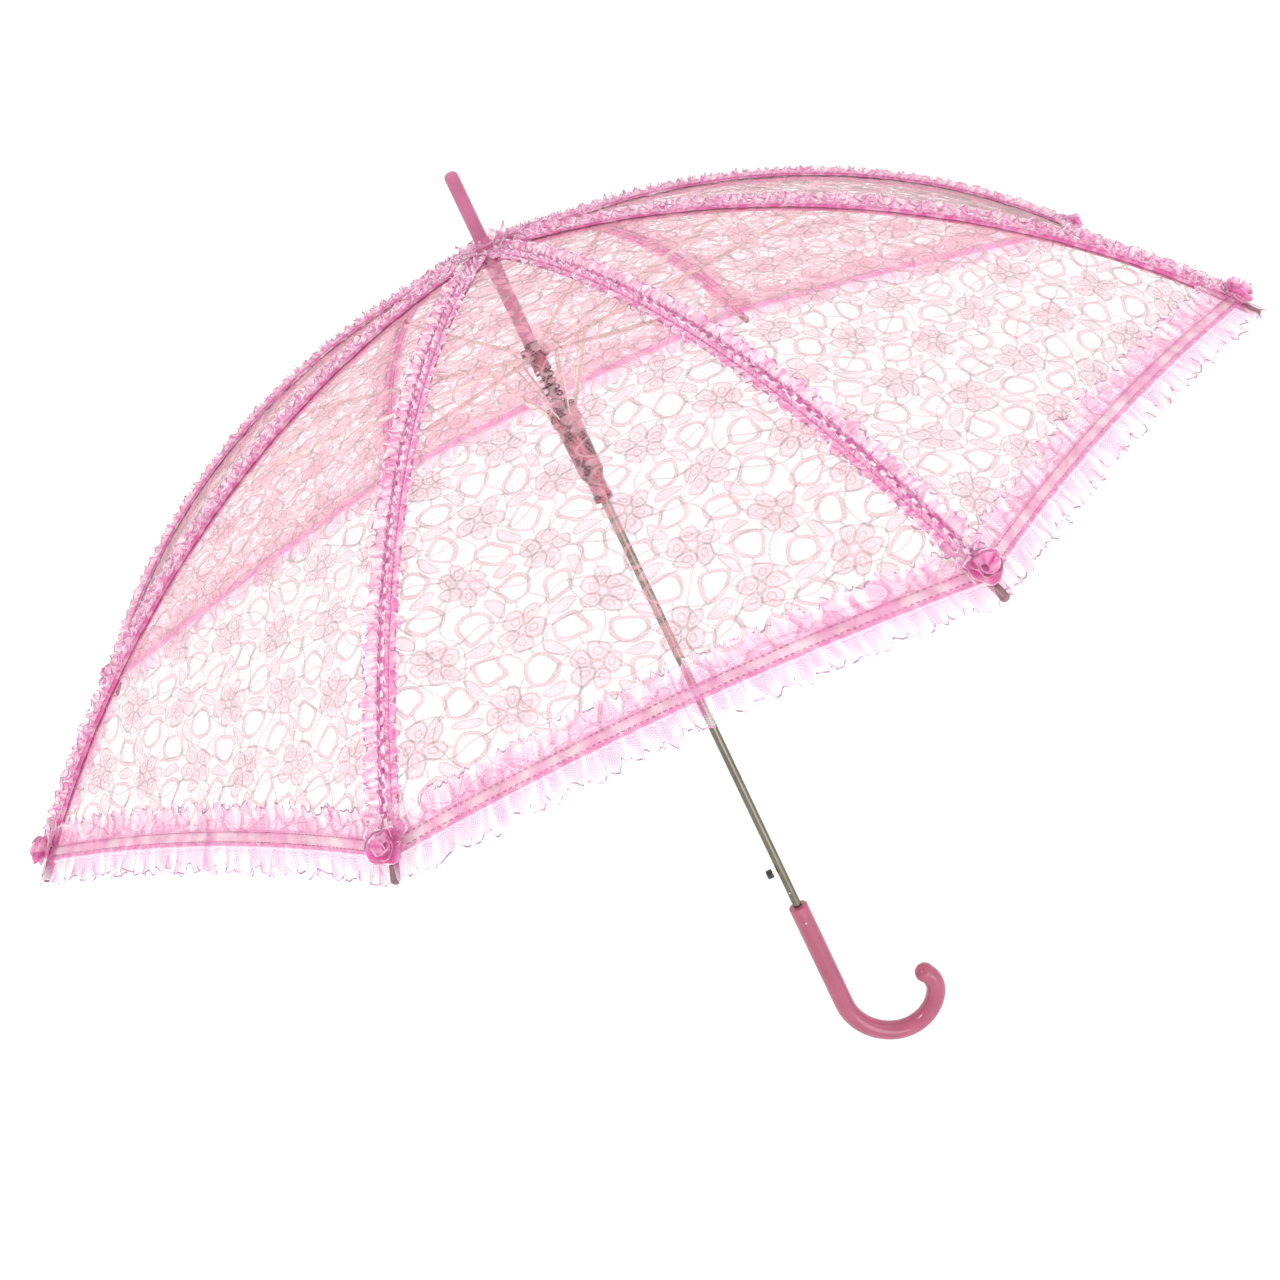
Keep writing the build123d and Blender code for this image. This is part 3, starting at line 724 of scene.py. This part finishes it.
def make_hem_frill(number):
    """Gathered frills below and above the hem band."""
    sheets = Sheets()
    points, out, up = hem_line(number, 1.5 * MM, TAPE_LIFT)
    frill(sheets, points, out, up, HEM_FRILL_WIDTH, 10 * MM, 3.6 * MM, 60 + number, 7, -0.15)
    points, out, up = hem_line(number, HEM_BAND - 1 * MM, TAPE_LIFT + 0.4 * MM)
    upper_width = HEM_FRILL_WIDTH * UPPER_FRILL_SHARE
    frill(sheets, points, -out, up, upper_width, 8 * MM, 2.4 * MM, 80 + number, 6, 0.2)
    return sheets.piece(f"hem_frill_{number}", [HEM_FRILL, PICOT])


def make_corner(number):
    """Gathered tuft where the cover is sewn to a rib's tip."""
    sheets = Sheets()
    along = RIB_LENGTH - 5 * MM
    for tier, (radius, lean) in enumerate(((7.0 * MM, 0.3), (5.5 * MM, 0.9), (3.5 * MM, 1.4))):
        turn = np.linspace(0, 2 * pi, 60)
        centre, side, up = rib_frame(number, np.array([along]), TAPE_LIFT + (1 + tier) * MM)
        forward = np.cross(side, up)
        ring = np.cos(turn)[:, None] * side + np.sin(turn)[:, None] * forward
        line = centre + ring * 2.2 * MM
        frill(sheets, line, ring, np.broadcast_to(up, ring.shape), radius, 6 * MM, 2.2 * MM,
              120 + number + 10 * tier, 5, lean)
    return sheets.piece(f"corner_tuft_{number}", [TAPE, PICOT])


def make_crown_ruffle():
    """Two tiers of gathered frill round the foot of the spike."""
    low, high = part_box("crown_rosette")
    inner = (high.x - low.x) / 2 * 0.45
    sheets = Sheets()
    turn = np.linspace(0, 2 * pi, 120)
    ring = np.stack([np.cos(turn), np.sin(turn), 0 * turn], -1)
    up = np.broadcast_to([0.0, 0.0, 1.0], ring.shape)
    for tier in range(2):
        line = ring * inner + [0, 0, low.z + (1.0 + 3.0 * tier) * MM]
        width, lean = (13 - 3.5 * tier) * MM, 0.1 + 0.3 * tier
        frill(sheets, line, ring, up, width, 10 * MM, 3 * MM, 200 + tier, 6, lean)
    return sheets.piece("crown_ruffle", [FRILL, PICOT])


SPRING_WIRE_R = 0.78 * MM


def make_spring():
    """Coil between the two runners, as a tube along a helix with flattened end turns."""
    low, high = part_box("runner_spring")
    wire = SPRING_WIRE_R
    radius = (high.x - low.x) / 2 - wire
    turns, per_turn, around = 6.5, 40, 10
    t = np.linspace(0, 1, int(turns * per_turn))
    rise = np.interp(t, [0, 0.12, 0.88, 1], [0, 0.05, 0.95, 1])
    angle = 2 * pi * turns * t
    centre = np.stack([radius * np.cos(angle), radius * np.sin(angle),
                       low.z + wire + rise * (high.z - low.z - 2 * wire)], -1)
    ahead = unit(np.gradient(centre, axis=0))
    out = np.stack([np.cos(angle), np.sin(angle), 0 * angle], -1)
    third = np.cross(ahead, out)
    around_angle = np.linspace(0, 2 * pi, around + 1)
    tube = (centre[None] + wire * (np.cos(around_angle)[:, None, None] * out[None]
                                   + np.sin(around_angle)[:, None, None] * third[None]))
    sheets = Sheets()
    sheets.grid(tube, np.stack(np.broadcast_arrays(t[None] * 100, around_angle[:, None]), -1))
    return sheets.piece("spring_coil", [FINISHES["spring_steel"]])


def fold(piece):
    """Gives a soft piece of a sector a mesh of its own."""
    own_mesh(piece)


def dress_sector(number, gores):
    """All the soft pieces of one sector, riding on its rib."""
    body = f"rib_arm_{number}"
    net = make_net(number)
    motifs = make_motifs(number, gores)
    tape = make_tape(number)
    rib_frill = make_rib_frill(number)
    hem = make_hem(number)
    hem_frill = make_hem_frill(number)
    corner = make_corner(number)
    for piece in (net, motifs, tape, rib_frill, hem, hem_frill, corner):
        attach(piece, body)
    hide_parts(f"canopy_sector_{number}")
    for piece in (net, motifs, hem, hem_frill):
        fold(piece)


gores = {number: lace_of_gore(number) for number in range(1, RIB_COUNT + 1)}
for number in range(1, RIB_COUNT + 1):
    dress_sector(number, gores)

ruffle = make_crown_ruffle()
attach(ruffle, "shaft")
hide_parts("crown_rosette")

spring = make_spring()
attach(spring, "lower_slider")
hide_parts("runner_spring")
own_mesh(spring)

for row in frame["record"]["subparts"]:
    finish = FINISHES.get(row["material_slot"])
    if finish is not None:
        mesh = frame["nodes"][row["node"]].data
        mesh.materials.clear()
        mesh.materials.append(finish)

# --- floor, light and camera --------------------------------------------------------------
FLOOR_DROP = 0.5
FLOOR_REACH, EDGE_RADIUS = 40.0, 8.0                      # the floor is round, and its far edge curves up
SWEEP_START, SWEEP_RADIUS, SWEEP_TOP = 5.0, 4.0, 16.0     # where a nearer backdrop rises from it
SWEEP_HALF_WIDTH = 16.0


def make_floor():
    """Pale floor, with a backdrop behind the object that curves up from it as a roll of studio paper does."""
    sheets = Sheets()
    turn = np.linspace(0, pi / 2, 24)
    level = CAD_LOW.z - FLOOR_DROP
    reach = np.concatenate([[0.0], FLOOR_REACH + EDGE_RADIUS * np.sin(turn)])[:, None]
    rise = np.concatenate([[0.0], EDGE_RADIUS * (1 - np.cos(turn))])[:, None]
    angle = np.linspace(0, 2 * pi, 49)[None]
    bowl = np.stack([reach * np.cos(angle), reach * np.sin(angle), level + rise + 0 * angle], -1)
    sheets.grid(bowl, bowl[..., :2])
    depth = np.append(SWEEP_START + SWEEP_RADIUS * np.sin(turn), SWEEP_START + SWEEP_RADIUS)[:, None]
    rise = np.append(SWEEP_RADIUS * (1 - np.cos(turn)), SWEEP_TOP)[:, None]
    across = SWEEP_HALF_WIDTH * np.array([[-1.0, 1.0]])
    sweep = np.stack(np.broadcast_arrays(across, depth, level + rise), -1)
    sheets.grid(sweep, sweep[..., :2])
    material, tree, shader = new_material("pale_floor")
    tree.links.new(ramp(tree, noise(tree, "Object", 3), [(0.3, (0.955,) * 3), (0.7, (0.97,) * 3)]),
                   shader.inputs["Base Color"])
    shader.inputs["Roughness"].default_value = 0.9
    floor = sheets.piece("floor", [material])


make_floor()
world = bpy.data.worlds.new("studio")
bpy.context.scene.world = world
world.use_nodes = True
sky = world.node_tree.nodes["Background"]
sky.inputs["Color"].default_value = (1.0, 0.995, 0.99, 1)
direction = node(world.node_tree, "ShaderNodeTexCoord")
height = node(world.node_tree, "ShaderNodeSeparateXYZ")
world.node_tree.links.new(direction.outputs["Generated"], height.inputs["Vector"])
SKY_LOW, SKY_HIGH = 0.62, 1.28
# Where the camera sees the sky past the floor's edge it is white, as the floor is; its light stays the same.
seen = node(world.node_tree, "ShaderNodeMath", operation="MAXIMUM")
world.node_tree.links.new(remap(world.node_tree, height.outputs["Z"], -0.2, 0.9, SKY_LOW, SKY_HIGH),
                          seen.inputs[0])
world.node_tree.links.new(node(world.node_tree, "ShaderNodeLightPath").outputs["Is Camera Ray"],
                          seen.inputs[1])
world.node_tree.links.new(seen.outputs[0], sky.inputs["Strength"])


def area_light(name, place, target, size, power):
    data = bpy.data.lights.new(name, "AREA")
    data.shape, data.size, data.energy = "DISK", size, power
    light = bpy.data.objects.new(name, data)
    light.location = place
    light.rotation_mode = "QUATERNION"
    light.rotation_quaternion = (Vector(target) - Vector(place)).to_track_quat("-Z", "Y")
    light.visible_camera = False
    bpy.context.scene.collection.objects.link(light)


area_light("key", (-1.6, -1.8, 2.4), (0, 0, 0.3), 0.7, 20)
area_light("fill", (2.2, -1.2, 1.2), (0, 0, 0.2), 2.0, 4)
area_light("lift", (0.6, -1.3, -0.4), (0, 0.1, 0.4), 1.2, 8)

# The camera looks up-left across the open parasol, rolled so that the shaft leans.
camera_data = bpy.data.cameras.new("camera")
camera_data.lens, camera_data.sensor_width = 58.7, 36.0
camera_data.clip_start, camera_data.clip_end = 0.05, 100
camera = bpy.data.objects.new("camera", camera_data)
bpy.context.scene.collection.objects.link(camera)
right = Vector((0.9057, -0.1104, -0.4094)).normalized()
forward = Vector((-0.0348, 0.9429, -0.3311)).normalized()
up = right.cross(forward).normalized()
right = forward.cross(up)
place = Vector((0.0293, -1.3027, 0.6847))
camera.matrix_world = Matrix([[right[k], up[k], -forward[k], place[k]] for k in range(3)] + [[0, 0, 0, 1]])
bpy.context.scene.camera = camera

scene = bpy.context.scene
scene.view_settings.view_transform = "Standard"
scene.cycles.transparent_max_bounces = 48
scene.cycles.max_bounces = 12
